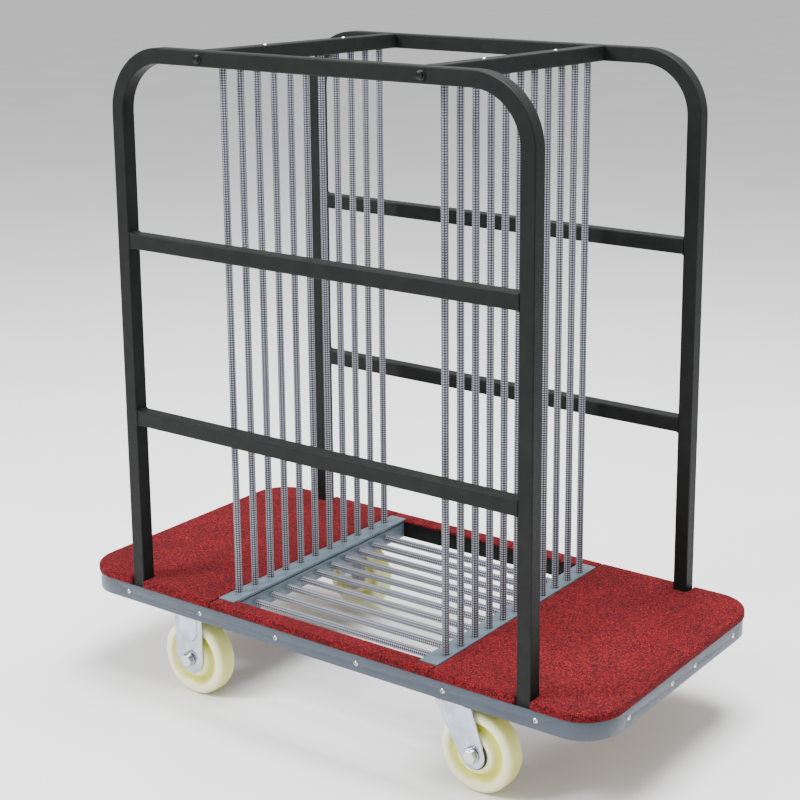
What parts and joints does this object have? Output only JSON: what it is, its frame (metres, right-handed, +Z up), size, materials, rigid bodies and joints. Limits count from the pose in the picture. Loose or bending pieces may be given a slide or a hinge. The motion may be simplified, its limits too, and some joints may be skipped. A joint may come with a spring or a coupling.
{
  "type": "hotel luggage cart",
  "caption": "Luggage cart with a carpeted deck, black tube side frames, rows of upright elastic cords, a sprung cord floor in the deck opening, and fixed and swivel casters.",
  "frame": {"origin": "on the floor, under the middle of the deck", "axes": "+Z up, +X along the deck towards the swivel casters, -Y the near long side"},
  "size_m": [1.264, 0.6238, 1.3215],
  "materials": {
    "base_steel": "black powder coat, semi-matt",
    "frame_black": "black powder coat with fine orange peel, satin",
    "bar_grey": "blue-grey paint, satin",
    "band_grey": "blue-grey paint, satin, worn light along the edges",
    "carpet_red": "short cut pile, dark red with darker flecks",
    "board_wood": "birch plywood, raw",
    "cord_grey": "braided elastic cord, grey with dark flecks",
    "ferrule_steel": "crimped",
    "screw_nickel": "nickel-plated, polished heads",
    "fastener_zinc": "bright zinc plate",
    "bolt_black": "black oxide, worn bright at the rims",
    "caster_zinc": "blue-white zinc plate on pressed steel",
    "wheel_nylon": "cast nylon, natural cream, slightly translucent",
    "bearing_dark": "dark brown-black plain bearing"
  },
  "bodies": {
    "root": {"base_rail_near": "base_steel", "base_rail_far": "base_steel", "base_end_left": "base_steel", "base_end_right": "base_steel", "deck_ledges": "base_steel", "cross_channel_left": "base_steel", "cross_channel_right": "base_steel", "caster_bars": "base_steel", "side_frame_near": "frame_black", "side_frame_far": "frame_black", "mid_rails_near": "frame_black", "mid_rails_far": "frame_black", "cross_rail_left": "frame_black", "cross_rail_right": "frame_black", "cord_bar_left": "bar_grey", "cord_bar_right": "bar_grey", "cord_rail_left": "bar_grey", "cord_rail_right": "bar_grey", "bar_spacers": "bar_grey", "edge_band": "band_grey", "carpet_left": "carpet_red", "carpet_right": "carpet_red", "carpet_strip_near": "carpet_red", "carpet_strip_far": "carpet_red", "deck_board_left": "board_wood", "deck_board_right": "board_wood", "cords_left": "cord_grey", "cords_right": "cord_grey", "cords_floor": "cord_grey", "cord_ferrules": "ferrule_steel", "band_screws": "screw_nickel", "cross_rail_screws": "screw_nickel", "cross_rail_plugs": "fastener_zinc", "caster_bolts": "fastener_zinc", "fixed_near_axle_bolt": "fastener_zinc", "fixed_near_axle_nut": "fastener_zinc", "fixed_far_axle_bolt": "fastener_zinc", "fixed_far_axle_nut": "fastener_zinc", "swivel_near_kingpin": "fastener_zinc", "swivel_far_kingpin": "fastener_zinc", "swivel_balls": "fastener_zinc", "frame_bolts": "bolt_black", "fixed_near_bracket": "caster_zinc", "fixed_far_bracket": "caster_zinc", "swivel_near_plate": "caster_zinc", "swivel_far_plate": "caster_zinc"},
    "fixed_near_wheel_body": {"fixed_near_wheel": "wheel_nylon", "fixed_near_bearings": "bearing_dark"},
    "fixed_far_wheel_body": {"fixed_far_wheel": "wheel_nylon", "fixed_far_bearings": "bearing_dark"},
    "swivel_near_wheel_body": {"swivel_near_wheel": "wheel_nylon", "swivel_near_bearings": "bearing_dark"},
    "swivel_near_fork_body": {"swivel_near_fork": "caster_zinc", "swivel_near_axle_bolt": "fastener_zinc", "swivel_near_axle_nut": "fastener_zinc"},
    "swivel_far_wheel_body": {"swivel_far_wheel": "wheel_nylon", "swivel_far_bearings": "bearing_dark"},
    "swivel_far_fork_body": {"swivel_far_fork": "caster_zinc", "swivel_far_axle_bolt": "fastener_zinc", "swivel_far_axle_nut": "fastener_zinc"}
  },
  "joints": [
    {"name": "fixed_near_spin", "type": "hinge", "parent": "root", "child": "fixed_near_wheel_body", "pos_m": [-0.348, -0.262, 0.08], "axis": [0, 1, 0], "continuous": true},
    {"name": "fixed_far_spin", "type": "hinge", "parent": "root", "child": "fixed_far_wheel_body", "pos_m": [-0.348, 0.262, 0.08], "axis": [0, 1, 0], "continuous": true},
    {"name": "swivel_near_swivel", "type": "hinge", "parent": "root", "child": "swivel_near_fork_body", "pos_m": [0.313, -0.262, 0.165], "axis": [0, 0, 1], "continuous": true},
    {"name": "swivel_near_spin", "type": "hinge", "parent": "swivel_near_fork_body", "child": "swivel_near_wheel_body", "pos_m": [0.355, -0.262, 0.08], "axis": [0, 1, 0], "continuous": true},
    {"name": "swivel_far_swivel", "type": "hinge", "parent": "root", "child": "swivel_far_fork_body", "pos_m": [0.313, 0.262, 0.165], "axis": [0, 0, 1], "continuous": true},
    {"name": "swivel_far_spin", "type": "hinge", "parent": "swivel_far_fork_body", "child": "swivel_far_wheel_body", "pos_m": [0.355, 0.262, 0.08], "axis": [0, 1, 0], "continuous": true}
  ]
}
